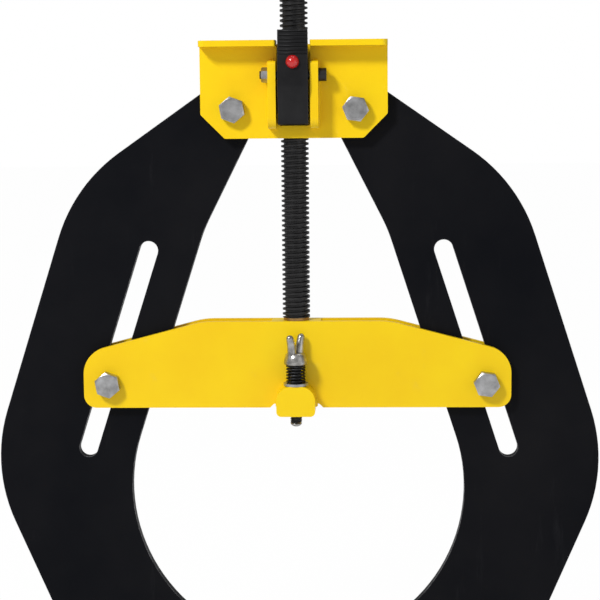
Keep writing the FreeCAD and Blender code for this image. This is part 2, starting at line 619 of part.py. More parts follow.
def make_screw():
    """The lead screw with its journal, rings for the thread, retaining ring and hub."""
    pitch, deep, radius = size("thread_pitch"), size("thread_deep"), size("screw_radius")
    low, top = size("screw_low"), size("screw_top")
    journal, spigot = size("journal_radius"), size("spigot_radius")
    flank = deep * math.tan(math.radians(size("thread_angle")))
    crest, end = size("thread_crest"), size("thread_end")
    points = [(0, size("journal_low")), (journal, size("journal_low")), (journal, low), (radius, low)]
    z = low + end
    while z + pitch < top - end:
        points += [(radius, z), (radius - deep, z + flank),
                   (radius - deep, z + pitch - crest - flank), (radius, z + pitch - crest)]
        z += pitch
    spigot_top = top + size("spigot_high")
    points += [(radius, top), (spigot, top), (spigot, spigot_top), (0, spigot_top)]
    vectors = [Vector(u, v, 0) for u, v in points]
    loop = vectors + vectors[:1]
    edges = [Part.LineSegment(a, b) for a, b in zip(loop, loop[1:])]
    body = doc.addObject("PartDesign::Body", "screw_turned")
    revolve(body, edges)
    pin_z = "Sizes.screw_top + Sizes.spigot_high / 2"
    drill = rod("spigot_drill", "y", "0", "-Sizes.drill_long / 2", pin_z,
                "Sizes.hub_pin_radius + Sizes.fit", "Sizes.drill_long")
    keep(cut("lead_screw", body, [drill]), "lead_screw")
    keep(sleeve("retaining_ring", "z", "0", "0", "Sizes.block_low - Sizes.ring_drop",
                "Sizes.journal_radius + Sizes.ring_wall", "Sizes.journal_radius + Sizes.ring_fit",
                "Sizes.ring_high"), "retaining_ring")
    hub = rod("hub_blank", "z", "0", "0", "Sizes.screw_top", "Sizes.hub_radius",
              "Sizes.hub_top - Sizes.screw_top")
    socket = rod("hub_socket", "z", "0", "0", "Sizes.screw_top - Sizes.over",
                 "Sizes.spigot_radius + Sizes.fit", "Sizes.spigot_high + Sizes.socket_spare")
    handle = rod("hub_cross_hole", "x", "-Sizes.drill_long / 2", "0", "Sizes.handle_z",
                 "Sizes.handle_radius + Sizes.fit", "Sizes.drill_long")
    pin_hole = rod("hub_pin_hole", "y", "0", "-Sizes.drill_long / 2", pin_z,
                   "Sizes.hub_pin_radius + Sizes.fit", "Sizes.drill_long")
    keep(cut("screw_hub", hub, [socket, handle, pin_hole]), "screw_hub")
    keep(rod("hub_pin", "y", "0", "-Sizes.hub_radius", pin_z, "Sizes.hub_pin_radius",
             "2 * Sizes.hub_radius"), "hub_pin")
    keep(rod("tommy_bar", "x", "-Sizes.handle_long / 2", "0", "Sizes.handle_z",
             "Sizes.handle_radius", "Sizes.handle_long"), "tommy_bar")
    ends = []
    for side, word in ((-1, "left"), (1, "right")):
        start = "Sizes.handle_long / 2"
        if side < 0:
            start = "-Sizes.handle_long / 2 - Sizes.handle_end_long"
        ends.append(rod("bar_end_" + word, "x", start, "0", "Sizes.handle_z",
                        "Sizes.handle_radius + Sizes.handle_end_wall", "Sizes.handle_end_long"))
    keep(group("tommy_bar_ends", ends), "tommy_bar_ends")


def export_all():
    """Check every object and write one STEP file per sub-part."""
    doc.recompute()
    for item in doc.Objects:
        if "Invalid" in item.State or "Error" in item.State:
            raise RuntimeError("%s did not compute: %s" % (item.Name, item.State))
    os.makedirs("parts", exist_ok=True)
    for shape_object, name in nodes:
        shape = shape_object.Shape
        if shape.isNull() or not shape.isValid() or not shape.Solids:
            raise RuntimeError("%s has no valid solid" % name)
        shape.exportStep("parts/%s.step" % name)
        print("%-28s solids %d volume %.0f" % (name, len(shape.Solids), shape.Volume))


make_bracket()
make_bushes()
bolts("pivot", "pivot_x", "pivot_z", "Sizes.bush_radius + Sizes.fit", "Sizes.bracket_thick")
make_lever()
make_crossbar()
bolts("pin", "pin_x", "pin_z", "Sizes.pin_radius + Sizes.fit", "Sizes.plate_thick")
make_screw()
make_arm(-1, "left")
make_arm(1, "right")
export_all()
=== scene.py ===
import json
import math
import bpy
from mathutils import Matrix, Vector


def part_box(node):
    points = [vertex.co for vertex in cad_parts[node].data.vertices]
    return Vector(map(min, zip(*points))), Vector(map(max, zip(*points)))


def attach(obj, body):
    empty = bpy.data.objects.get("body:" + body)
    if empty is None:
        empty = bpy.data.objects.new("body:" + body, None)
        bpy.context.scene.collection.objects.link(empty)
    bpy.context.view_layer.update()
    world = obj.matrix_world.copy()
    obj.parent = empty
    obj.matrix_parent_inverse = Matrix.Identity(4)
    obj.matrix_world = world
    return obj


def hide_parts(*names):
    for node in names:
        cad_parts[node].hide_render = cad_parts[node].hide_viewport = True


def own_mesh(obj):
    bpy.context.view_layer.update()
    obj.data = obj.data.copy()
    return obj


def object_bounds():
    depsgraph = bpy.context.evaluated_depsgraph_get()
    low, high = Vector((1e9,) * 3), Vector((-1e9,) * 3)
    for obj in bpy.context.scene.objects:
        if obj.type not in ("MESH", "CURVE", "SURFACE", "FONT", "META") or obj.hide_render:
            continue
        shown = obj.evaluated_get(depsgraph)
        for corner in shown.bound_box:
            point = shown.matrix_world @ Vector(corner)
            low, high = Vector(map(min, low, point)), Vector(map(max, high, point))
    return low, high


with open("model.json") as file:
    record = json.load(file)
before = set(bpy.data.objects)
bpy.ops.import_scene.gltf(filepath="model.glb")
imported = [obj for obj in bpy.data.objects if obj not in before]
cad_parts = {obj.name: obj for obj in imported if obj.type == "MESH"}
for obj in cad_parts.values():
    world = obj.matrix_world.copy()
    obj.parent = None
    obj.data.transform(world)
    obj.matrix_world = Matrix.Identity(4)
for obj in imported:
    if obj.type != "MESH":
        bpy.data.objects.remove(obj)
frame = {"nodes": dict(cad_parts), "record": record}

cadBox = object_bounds()
print("frame loaded")

# metres, degrees and millimetres of lens
cameraView = {"place": (0.0720, -1.6771, 0.3987), "turn": 2.33, "tip": -6.95, "roll": -0.53,
              "lens": 99.456, "sensor": 36.0, "reach": 50.0}


def makeCamera(v):
    data = bpy.data.cameras.new("camera")
    data.sensor_fit = "HORIZONTAL"
    data.sensor_width = v["sensor"]
    data.lens = v["lens"]
    data.dof.use_dof = False
    data.clip_end = v["reach"]
    cam = bpy.data.objects.new("camera", data)
    bpy.context.collection.objects.link(cam)
    turn = Matrix.Rotation(math.radians(v["turn"]), 4, "Z")
    tip = Matrix.Rotation(math.radians(90 + v["tip"]), 4, "X")
    roll = Matrix.Rotation(math.radians(v["roll"]), 4, "Z")
    cam.matrix_world = Matrix.Translation(Vector(v["place"])) @ turn @ tip @ roll
    bpy.context.scene.camera = cam


makeCamera(cameraView)
print("camera set")


class Value:  # a socket that takes part in Python sums
    def __init__(self, shader, socket):
        self.shader = shader
        self.socket = socket

    def maths(self, operation, other, swap=False):
        pair = [other, self] if swap else [self, other]
        made = self.shader.node("ShaderNodeMath", {"operation": operation}, dict(enumerate(pair)))
        return made[0]

    def __add__(self, other):
        return self.maths("ADD", other)

    __radd__ = __add__

    def __sub__(self, other):
        return self.maths("SUBTRACT", other)

    def __rsub__(self, other):
        return self.maths("SUBTRACT", other, True)

    def __mul__(self, other):
        return self.maths("MULTIPLY", other)

    __rmul__ = __mul__

    def __truediv__(self, other):
        return self.maths("DIVIDE", other)

    def __pow__(self, other):
        return self.maths("POWER", other)


class Shader:  # one material and its node tree
    def __init__(self, name):
        self.material = bpy.data.materials.new(name)
        self.material.use_nodes = True
        self.tree = self.material.node_tree
        self.tree.nodes.clear()

    def node(self, kind, settings=None, values=None):
        made = self.tree.nodes.new(kind)
        for key, setting in (settings or {}).items():
            if key == "stops":
                self.setStops(made.color_ramp, setting)
            else:
                setattr(made, key, setting)
        for key, value in (values or {}).items():
            if isinstance(value, Value):
                self.tree.links.new(value.socket, made.inputs[key])
            else:
                made.inputs[key].default_value = value
        return Outputs(self, made)

    def setStops(self, ramp, stops):
        while len(ramp.elements) < len(stops):
            ramp.elements.new(0.5)
        for element, (place, tone) in zip(ramp.elements, stops):
            element.position = place
            element.color = tone if len(tone) == 4 else (*tone, 1)

    def place(self):
        return self.node("ShaderNodeTexCoord")["Object"]

    def noise(self, scale, detail=3.0, rough=0.55, stretch=None):
        where = self.place()
        if stretch:
            where = self.node("ShaderNodeMapping", None,
                              {"Vector": where, "Scale": stretch})["Vector"]
        return self.node("ShaderNodeTexNoise", {"noise_dimensions": "3D"},
                         {"Vector": where, "Scale": scale, "Detail": detail,
                          "Roughness": rough})["Fac"]

    def ramp(self, value, low, high, first=0.0, last=1.0):
        return self.node("ShaderNodeMapRange", {"clamp": True},
                         {"Value": value, "From Min": low, "From Max": high,
                          "To Min": first, "To Max": last})["Result"]

    def blend(self, factor, first, second):
        def tone(value):
            return value if isinstance(value, Value) else (*value, 1)
        made = self.node("ShaderNodeMix", {"data_type": "RGBA", "clamp_factor": True},
                         {0: factor, 6: tone(first), 7: tone(second)})
        return Value(self, made.made.outputs[2])

    def edges(self, radius):  # one at sharp edges, nought on flats
        soft = self.node("ShaderNodeBevel", {"samples": 6}, {"Radius": radius})["Normal"]
        plain = self.node("ShaderNodeNewGeometry")["Normal"]
        made = self.node("ShaderNodeVectorMath", {"operation": "DOT_PRODUCT"}, {0: soft, 1: plain})
        return self.ramp(1 - made["Value"], 0.012, 0.12)

    def bump(self, height, distance, strength=1.0):
        return self.node("ShaderNodeBump", None,
                         {"Height": height, "Distance": distance, "Strength": strength})["Normal"]

    def finish(self, values):
        shade = self.node("ShaderNodeBsdfPrincipled", None, values)["BSDF"]
        self.node("ShaderNodeOutputMaterial", None, {"Surface": shade})
        return self.material


class Outputs:
    def __init__(self, shader, made):
        self.shader = shader
        self.made = made

    def __getitem__(self, key):
        return Value(self.shader, self.made.outputs[key])


yellowPaint = {"tone": (0.95, 0.66, 0.003), "deep": (0.90, 0.57, 0.002), "peel": 620.0,
               "peelDepth": 0.00005, "chip": (0.30, 0.22, 0.05), "rough": 0.34}


def makeYellowPaint(v):
    s = Shader("yellowPaint")
    cloud = s.noise(9.0, 4.0)
    peel = s.noise(v["peel"], 2.0, 0.4)
    tone = s.blend(s.ramp(cloud, 0.35, 0.7), v["tone"], v["deep"])
    chips = s.ramp(s.noise(260.0, 4.0, 0.7), 0.56, 0.66) * s.edges(0.0009)
    dust = s.ramp(s.noise(45.0, 6.0, 0.7), 0.62, 0.8)
    tone = s.blend(dust * 0.10, tone, (0.75, 0.62, 0.35))
    tone = s.blend(chips * 0.7, tone, v["chip"])
    rough = v["rough"] + s.ramp(cloud, 0.3, 0.8) * 0.10 + chips * 0.3
    return s.finish({"Base Color": tone, "Roughness": rough, "Coat Weight": 0.10,
                     "Coat Roughness": 0.12, "Specular IOR Level": 0.22,
                     "Normal": s.bump(peel, v["peelDepth"])})


# the grey edge colour is partly paint wear and partly a painted edge highlight
blackPaint = {"tone": (0.0030, 0.0034, 0.0052), "pale": (0.007, 0.007, 0.0085),
              "worn": (0.30, 0.30, 0.31), "rough": 0.40, "peel": 520.0, "peelDepth": 0.00004}


def makeBlackPaint(v):
    s = Shader("blackPaint")
    cloud = s.noise(7.0, 5.0)
    scuff = s.ramp(s.noise(60.0, 6.0, 0.75, (1.0, 1.0, 0.12)), 0.60, 0.74)
    tone = s.blend(s.ramp(cloud, 0.35, 0.7), v["tone"], v["pale"])
    tone = s.blend(scuff * 0.10, tone, (0.06, 0.06, 0.065))
    broken = s.ramp(s.noise(120.0, 4.0, 0.7), 0.40, 0.60)
    # grey along the sharp edges: partly paint wear, partly a painted highlight on the edges
    worn = s.edges(0.0010) * (0.25 + broken * 0.75)
    tone = s.blend(worn * 0.75, tone, v["worn"])
    rough = v["rough"] + cloud * 0.12 + scuff * 0.10 - worn * 0.08
    peel = s.bump(s.noise(v["peel"], 2.0, 0.4), v["peelDepth"])
    return s.finish({"Base Color": tone, "Roughness": rough, "Metallic": worn * 0.5,
                     "Specular IOR Level": 0.06, "Normal": peel})


zincPlate = {"tone": (0.50, 0.50, 0.51), "dull": (0.26, 0.26, 0.26), "rough": 0.26}


def makeZincPlate(v):
    s = Shader("zincPlate")
    cloud = s.noise(90.0, 4.0, 0.6)
    spots = s.ramp(s.noise(420.0, 3.0, 0.6), 0.60, 0.75)
    tone = s.blend(s.ramp(cloud, 0.35, 0.7), v["tone"], v["dull"])
    tone = s.blend(spots * 0.25, tone, (0.22, 0.21, 0.20))
    lines = s.noise(900.0, 2.0, 0.5, (1.0, 0.15, 1.0))
    return s.finish({"Base Color": tone, "Metallic": 0.95, "Roughness": v["rough"] + cloud * 0.18,
                     "Normal": s.bump(lines, 0.00002)})


blackSteel = {"tone": (0.012, 0.012, 0.013), "bright": (0.10, 0.10, 0.105), "rough": 0.30}


def makeBlackSteel(v):
    s = Shader("blackSteel")
    oil = s.noise(28.0, 4.0, 0.6)
    rub = s.edges(0.0006) * s.ramp(s.noise(140.0, 3.0), 0.40, 0.62)
    tone = s.blend(s.ramp(oil, 0.3, 0.7), v["tone"], (0.026, 0.025, 0.025))
    tone = s.blend(rub * 0.8, tone, v["bright"])
    rough = v["rough"] + oil * 0.22
    return s.finish({"Base Color": tone, "Metallic": 0.55, "Roughness": rough,
                     "Normal": s.bump(s.noise(700.0, 2.0, 0.5), 0.00002)})


bronze = {"tone": (0.50, 0.30, 0.10), "dark": (0.24, 0.14, 0.06)}


def makeBronze(v):
    s = Shader("bronze")
    cloud = s.noise(80.0, 4.0, 0.6)
    return s.finish({"Base Color": s.blend(s.ramp(cloud, 0.3, 0.7), v["tone"], v["dark"]),
                     "Metallic": 1.0, "Roughness": 0.30 + cloud * 0.2,
                     "Normal": s.bump(s.noise(800.0, 2.0), 0.00002)})


blackPlastic = {"tone": (0.006, 0.006, 0.007), "pale": (0.013, 0.013, 0.014), "grain": 1500.0}


def makeBlackPlastic(v):
    s = Shader("blackPlastic")
    cloud = s.noise(40.0, 4.0, 0.6)
    grain = s.noise(v["grain"], 2.0, 0.6)
    handled = s.edges(0.0008) * 0.35
    tone = s.blend(s.ramp(cloud, 0.35, 0.7), v["tone"], v["pale"])
    tone = s.blend(handled, tone, (0.12, 0.12, 0.12))
    return s.finish({"Base Color": tone, "Roughness": 0.34 + cloud * 0.14,
                     "Specular IOR Level": 0.2, "Normal": s.bump(grain, 0.00005)})


redPlastic = {"tone": (0.62, 0.008, 0.008), "deep": (0.42, 0.004, 0.005)}


def makeRedPlastic(v):
    s = Shader("redPlastic")
    cloud = s.noise(150.0, 3.0, 0.5)
    return s.finish({"Base Color": s.blend(s.ramp(cloud, 0.35, 0.7), v["tone"], v["deep"]),
                     "Roughness": 0.20 + cloud * 0.10, "Coat Weight": 0.4,
                     "Normal": s.bump(s.noise(500.0, 2.0), 0.00002)})


castSteel = {"tone": (0.52, 0.51, 0.49), "dark": (0.16, 0.155, 0.15), "grain": 650.0}


def makeCastSteel(v):
    s = Shader("castSteel")
    cloud = s.noise(110.0, 4.0, 0.6)
    grain = s.noise(v["grain"], 3.0, 0.6)
    tone = s.blend(s.ramp(cloud, 0.35, 0.72), v["tone"], v["dark"])
    return s.finish({"Base Color": tone, "Metallic": 0.95, "Roughness": 0.20 + grain * 0.20,
                     "Normal": s.bump(grain, 0.00009)})


springWire = {"tone": (0.012, 0.012, 0.013), "bright": (0.06, 0.06, 0.062)}


def makeSpringWire(v):
    s = Shader("springWire")
    cloud = s.noise(220.0, 4.0, 0.6)
    return s.finish({"Base Color": s.blend(s.ramp(cloud, 0.45, 0.75), v["tone"], v["bright"]),
                     "Metallic": 0.7, "Roughness": 0.28 + cloud * 0.2,
                     "Normal": s.bump(s.noise(900.0, 2.0), 0.00002)})


finishes = {
    "yellow_coat": makeYellowPaint(yellowPaint), "black_coat": makeBlackPaint(blackPaint),
    "zinc_plate": makeZincPlate(zincPlate), "bronze": makeBronze(bronze),
    "black_oxide": makeBlackSteel(blackSteel), "black_plastic": makeBlackPlastic(blackPlastic),
    "red_plastic": makeRedPlastic(redPlastic), "spring_steel": makeSpringWire(springWire),
    "cast_stainless": makeCastSteel(castSteel),
}
print("finishes made")

edgeBreak = {"default": 0.0005, "jaw_arm_left": 0.0009, "jaw_arm_right": 0.0009,
             "crossbar_front": 0.0009, "crossbar_back": 0.0009, "bracket_front": 0.0009,
             "bracket_back": 0.0009, "release_lever": 0.0010, "screw_hub": 0.0010}
noBevel = ("spring", "red_cap", "lead_screw")


def dressFrame():
    slots = {row["node"]: row["material_slot"] for row in frame["record"]["subparts"]}
    for name, obj in frame["nodes"].items():
        material = finishes[slots[name]]
        if not obj.material_slots:
            obj.data.materials.append(material)
        for holder in obj.material_slots:
            holder.link = "OBJECT"
            holder.material = material
        if any(word in name for word in noBevel):
            continue
        bevel = obj.modifiers.new("edgeBreak", "BEVEL")
        bevel.width = edgeBreak.get(name, edgeBreak["default"])
        bevel.segments = 2
        bevel.limit_method = "ANGLE"
        bevel.angle_limit = math.radians(40)
        bevel.harden_normals = False


dressFrame()
print("frame dressed")


def addPiece(name, verts, faces, body, slotName, smooth=True):
    mesh = bpy.data.meshes.new(name)
    mesh.from_pydata([tuple(v) for v in verts], [], faces)
    mesh.update()
    for poly in mesh.polygons:
        poly.use_smooth = smooth
    obj = bpy.data.objects.new(name, mesh)
    bpy.context.collection.objects.link(obj)
    mesh.materials.append(finishes[slotName])
    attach(obj, body)
    return obj


thread = {"radius": 0.014, "deep": 0.00275, "pitch": 0.005, "low": 0.177, "top": 0.530,
          "steps": 64, "flankAngle": 15.0, "crestShare": 0.366, "tubeSteps": 48,
          "coreEnd": 0.0002, "journal": 0.006, "journalLow": 0.112, "spigot": 0.0089,
          "spigotTop": 0.5435}


def addTube(verts, faces, radius, low, high, steps):
    first = len(verts)
    for z in (low, high):
        for i in range(steps):
            turn = 2 * math.pi * i / steps
            verts.append((radius * math.cos(turn), radius * math.sin(turn), z))
    for i in range(steps):
        j = (i + 1) % steps
        faces.append((first + i, first + j, first + steps + j, first + steps + i))
    faces.append(tuple(first + i for i in reversed(range(steps))))
    faces.append(tuple(first + steps + i for i in range(steps)))


def makeThread(v):
    root = v["radius"] - v["deep"]
    flank = v["deep"] * math.tan(math.radians(v["flankAngle"]))
    crest = v["crestShare"] * v["pitch"]
    stages = [(0.0, v["radius"]), (crest, v["radius"]), (crest + flank, root),
              (v["pitch"] - flank, root)]
    turns = int((v["top"] - v["low"]) / v["pitch"]) + 2
    verts, faces = [], []
    count = turns * v["steps"]
    for i in range(count):
        turn = 2 * math.pi * i / v["steps"]
        rise = v["low"] - v["pitch"] + v["pitch"] * i / v["steps"]
        for step, radius in stages:
            z = min(max(rise + step, v["low"]), v["top"])
            verts.append((radius * math.cos(turn), radius * math.sin(turn), z))
    for i in range(count - 1):
        for k in range(3):
            a, b = 4 * i + k, 4 * (i + 1) + k
            faces.append((a, b, b + 1, a + 1))
        nextTurn = i + v["steps"]
        if nextTurn + 1 < count:
            faces.append((4 * i + 3, 4 * (i + 1) + 3, 4 * (nextTurn + 1), 4 * nextTurn))
    addTube(verts, faces, v["journal"], v["journalLow"], v["low"], v["tubeSteps"])
    addTube(verts, faces, v["spigot"], v["top"], v["spigotTop"], v["tubeSteps"])
    for low in (v["low"], v["top"] - v["coreEnd"]):
        addTube(verts, faces, root, low, low + v["coreEnd"], v["tubeSteps"])
    screw = addPiece("helicalThread", verts, faces, "screw", "black_oxide", False)
    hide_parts("lead_screw")


makeThread(thread)
print("thread cut")

thumbPad = {"low": 0.4425, "high": 0.4640, "ribs": 7, "half": 0.0138, "ribDeep": 0.0016,
            "ribHalf": 0.0009, "across": 8, "lift": 0.0001,
            "ends": ((-1, 0.25), (-0.97, 1.0), (0.97, 1.0), (1, 0.25))}


def leverFront(z):  # how far forward the lever's upper face stands
    low, high = (0.440, 0.0395), (0.4655, 0.0370)
    share = (z - low[0]) / (high[0] - low[0])
    return -(low[1] + share * (high[1] - low[1]))


def makeThumbPad(v):
    verts, faces = [], []
    across = v["across"]
    for rib in range(v["ribs"]):
        z = v["low"] + (v["high"] - v["low"]) * rib / (v["ribs"] - 1)
        first = len(verts)
        for end, shrink in v["ends"]:
            for k in range(across + 1):
                turn = math.pi * k / across
                dz = -math.cos(turn) * v["ribHalf"] * (0.6 + 0.4 * shrink)
                out = math.sin(turn) * v["ribDeep"] * shrink
                verts.append((end * v["half"], leverFront(z + dz) + v["lift"] - out, z + dz))
        for row in range(3):
            for k in range(across):
                a = first + row * (across + 1) + k
                faces.append((a, a + across + 1, a + across + 2, a + 1))
    addPiece("thumbPadRibs", verts, faces, "lever", "black_plastic")


makeThumbPad(thumbPad)
print("thumb pad ribbed")

levelSets = {
    "crossbar": {"foot": (0.0, 0.0805), "lean": 0.0, "body": "crossbar"},
    "jaw_left": {"foot": (-0.085, -0.147224), "lean": -150.0, "body": "left_arm"},
    "jaw_right": {"foot": (0.085, -0.147224), "lean": 150.0, "body": "right_arm"},
}
# the end turns of each coil lie flat over the closed share
coilForm = {"out": 0.028, "low": 0.0331, "high": 0.0514, "radius": 0.009, "wire": 0.00095,
            "turns": 6.0, "steps": 40, "around": 10, "keep": 0.785, "closed": 0.06}


def levelFrame(v, way, out):
    foot = Vector((v["foot"][0], way * out, v["foot"][1]))
    return Matrix.Translation(foot) @ Matrix.Rotation(math.radians(v["lean"]), 4, "Y")


def makeCoil(owner, v, word, way, c):
    place = levelFrame(v, way, c["out"])
    low, high = c["low"] + c["wire"], c["high"] - c["wire"]
    count = int(c["turns"] * c["steps"])
    verts, faces = [], []
    for i in range(count + 1):
        turn = 2 * math.pi * i / c["steps"]
        share = i / count
        rise = min(1.0, max(0.0, (share - c["closed"]) / (1 - 2 * c["closed"])))
        centre = Vector((c["radius"] * math.cos(turn), c["radius"] * math.sin(turn),
                         low + (high - low) * rise))
        outward = Vector((math.cos(turn), math.sin(turn), 0))
        for k in range(c["around"]):
            angle = 2 * math.pi * k / c["around"]
            point = centre + outward * (c["wire"] * math.cos(angle))
            verts.append(place @ (point + Vector((0, 0, c["wire"] * math.sin(angle)))))
    for i in range(count):
        for k in range(c["around"]):
            a = i * c["around"] + k
            b = i * c["around"] + (k + 1) % c["around"]
            faces.append((a, a + c["around"], b + c["around"], b))
    faces.append(tuple(range(c["around"])))
    faces.append(tuple(count * c["around"] + k for k in reversed(range(c["around"]))))
    coil = addPiece("coil_%s_%s" % (owner, word), verts, faces, v["body"], "spring_steel")
    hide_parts("%s_spring_%s" % (owner, word))
    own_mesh(coil)


studForm = {"out": 0.028, "radius": 0.00595, "root": 0.0051, "pitch": 0.00175,
            "low": -0.0085, "high": 0.0520, "steps": 24, "turned": {"crossbar": 52.0,
            "jaw_left": -25.0, "jaw_right": 25.0}}
wingForm = {"steps": 32, "tip": ((0.0, -0.0120), (0.0022, -0.0117), (0.0041, -0.0108),
                                 (0.0054, -0.0096), (0.0058, -0.0082), (0.0, -0.0082)),
            "hub": ((0.0, 0.0515), (0.0100, 0.0515), (0.0115, 0.0522), (0.0118, 0.0545),
                    (0.0108, 0.0590), (0.0098, 0.0620), (0.0085, 0.0632), (0.0, 0.0640)),
            "earFoot": (0.0060, 0.0580), "earTop": (0.0084, 0.0783), "bend": 0.0012,
            "wide": (0.0052, 0.0040), "deep": (0.0046, 0.0037), "rows": 12, "around": 20,
            "capRows": 6, "capLean": 0.12}


def addLathe(verts, faces, profile, steps):
    first = len(verts)
    for radius, z in profile:
        for i in range(steps):
            turn = 2 * math.pi * i / steps
            verts.append(Vector((radius * math.cos(turn), radius * math.sin(turn), z)))
    for row in range(len(profile) - 1):
        for i in range(steps):
            a = first + row * steps + i
            b = first + row * steps + (i + 1) % steps
            faces.append((a, b, b + steps, a + steps))


def addEar(verts, faces, side, v):
    foot, top = Vector(v["earFoot"]), Vector(v["earTop"])
    rows, around = v["rows"], v["around"]
    rings = []
    for row in range(rows + 1):
        share = row / rows
        rings.append((foot.lerp(top, share), share, 1.0))
    for k in range(1, v["capRows"] + 1):  # the rounded end
        turn = math.pi / 2 * k / v["capRows"]
        lift = Vector((v["capLean"], 1.0)).normalized() * (v["wide"][1] * math.sin(turn))
        rings.append((top + lift, 1.0, max(math.cos(turn), 0.02)))
    first = len(verts)
    for centre, share, shrink in rings:
        wide = (v["wide"][0] + (v["wide"][1] - v["wide"][0]) * share) * shrink
        deep = (v["deep"][0] + (v["deep"][1] - v["deep"][0]) * share) * shrink
        bow = v["bend"] * math.sin(math.pi * share)
        for i in range(around):
            turn = 2 * math.pi * i / around
            verts.append(Vector((side * (centre[0] - bow + wide * math.cos(turn)),
                                 deep * math.sin(turn), centre[1])))
    for row in range(len(rings) - 1):
        for i in range(around):
            a = first + row * around + i
            b = first + row * around + (i + 1) % around
            ring = (a, b, b + around, a + around)
            faces.append(ring if side > 0 else ring[::-1])
    last = [first + (len(rings) - 1) * around + i for i in range(around)]
    faces.append(tuple(last if side > 0 else last[::-1]))


def makeStud(owner, word, place, v):
    count = int((v["high"] - v["low"]) / v["pitch"]) * v["steps"]
    rows = ((0.0, v["root"]), (0.30, v["radius"]), (0.50, v["radius"]), (0.80, v["root"]))
    verts, faces = [], []
    for i in range(count + 1):
        turn = 2 * math.pi * i / v["steps"]
        for step, radius in rows:
            z = min(v["low"] + v["pitch"] * (i / v["steps"] + step), v["high"])
            verts.append(place @ Vector((radius * math.cos(turn), radius * math.sin(turn), z)))
    for i in range(count):
        for k in range(3):
            a, b = 4 * i + k, 4 * (i + 1) + k
            faces.append((a, b, b + 1, a + 1))
        above = i + v["steps"]
        if above + 1 <= count:
            faces.append((4 * i + 3, 4 * i + 7, 4 * (above + 1), 4 * above))
    return addPiece("stud_%s_%s" % (owner, word), verts, faces,
                    "%s_wing_%s_body" % (owner, word), "black_oxide", False)


def makeWing(owner, values, word, way, stud, v):
    spin = Matrix.Rotation(math.radians(stud["turned"][owner]), 4, "Z")
    place = levelFrame(values, way, stud["out"]) @ spin
    verts, faces = [], []
    addLathe(verts, faces, v["tip"], v["steps"])
    addLathe(verts, faces, v["hub"], v["steps"])
    for side in (-1, 1):
        addEar(verts, faces, side, v)
    wing = addPiece("wingHead_%s_%s" % (owner, word), [place @ point for point in verts], faces,
                    "%s_wing_%s_body" % (owner, word), "cast_stainless")
    thread = makeStud(owner, word, place, stud)
    for piece in (wing, thread):
        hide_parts("%s_wing_screw_%s" % (owner, word))


for owner, values in levelSets.items():
    for word, way in (("front", -1), ("back", 1)):
        makeCoil(owner, values, word, way, coilForm)
        makeWing(owner, values, word, way, studForm, wingForm)
print("levelling screws made")

headMarks = {"inner": 0.0084, "outer": 0.0102, "raise": 0.00012, "high": 0.010, "steps": 48,
             "pivot": {"x": 0.0615, "z": 0.3875, "face": 0.0165, "body": "bracket"},
             "pin": {"x": 0.1925, "z": 0.110, "face": 0.0145, "body": "crossbar"}}


def makeHeadMark(kind, side, v):
    at = v[kind]
    front = -at["face"] - v["high"]
    middle = (v["inner"] + v["outer"]) / 2
    verts, faces = [], []
    for radius, lift in ((v["inner"], 0.0), (middle, v["raise"]), (v["outer"], 0.0)):
        for i in range(v["steps"]):
            turn = 2 * math.pi * i / v["steps"]
            verts.append((side * at["x"] + radius * math.cos(turn), front - lift,
                          at["z"] + radius * math.sin(turn)))
    for row in range(2):
        for i in range(v["steps"]):
            a, b = row * v["steps"] + i, row * v["steps"] + (i + 1) % v["steps"]
            faces.append((a, b, b + v["steps"], a + v["steps"]))
    word = "Left" if side < 0 else "Right"
    addPiece(kind + "HeadRing" + word, verts, faces, at["body"], "zinc_plate")


for kind in ("pivot", "pin"):
    for side in (-1, 1):
        makeHeadMark(kind, side, headMarks)
print("bolt heads ringed")

welds = {"radius": 0.0022, "step": 0.0021, "steps": 10, "earFace": 0.0165, "earEdge": 0.025,
         "earInset": 0.001, "earTop": 0.74, "barFace": 0.0145, "lugEdge": 0.0195,
         "barLow": 0.0055, "barHigh": 0.0150, "jawFoot": 0.1755, "jawLong": 0.0095,
         "jawFace": 0.005, "jawLean": 30.0}


def weldBead(name, start, end, body, slotName, v, swell=0.12):
    start, end = Vector(start), Vector(end)
    along = (end - start).normalized()
    side = along.cross(Vector((0, 1, 0)))
    if side.length < 0.1:
        side = along.cross(Vector((0, 0, 1)))
    side.normalize()
    other = along.cross(side)
    length = (end - start).length
    rows = max(8, int(length / v["step"]) * 4)
    verts, faces = [], []
    for i in range(rows + 1):
        share = i / rows
        ripple = abs(math.sin(math.pi * share * length / v["step"]))
        taper = min(1.0, 6 * share + 0.25, 6 * (1 - share) + 0.25)
        radius = v["radius"] * taper * (1 - swell + swell * ripple)
        radius *= 1 + 0.06 * math.sin(19.0 * share + start.x * 900 + start.z * 500)
        centre = start + along * (length * share)
        for k in range(v["steps"]):
            turn = 2 * math.pi * k / v["steps"]
            verts.append(centre + (side * math.cos(turn) + other * math.sin(turn)) * radius)
    for i in range(rows):
        for k in range(v["steps"]):
            a = i * v["steps"] + k
            b = i * v["steps"] + (k + 1) % v["steps"]
            faces.append((a, b, b + v["steps"], a + v["steps"]))
    faces.append(tuple(range(v["steps"]))[::-1])
    faces.append(tuple(rows * v["steps"] + k for k in range(v["steps"])))
    addPiece(name, verts, faces, body, slotName)


def weldEars(v):
    low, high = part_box("lever_ear_left")
    face, inset = -v["earFace"], v["earInset"]
    for word, edge in (("left", -v["earEdge"]), ("right", v["earEdge"])):
        weldBead("earWeld" + word.title(), (edge, face, low[2] + inset),
                 (edge, face, high[2] - inset), "bracket", "yellow_coat", v)
        weldBead("earTopWeld" + word.title(), (edge, face, high[2]),
                 (edge * v["earTop"], face, high[2]), "bracket", "yellow_coat", v)


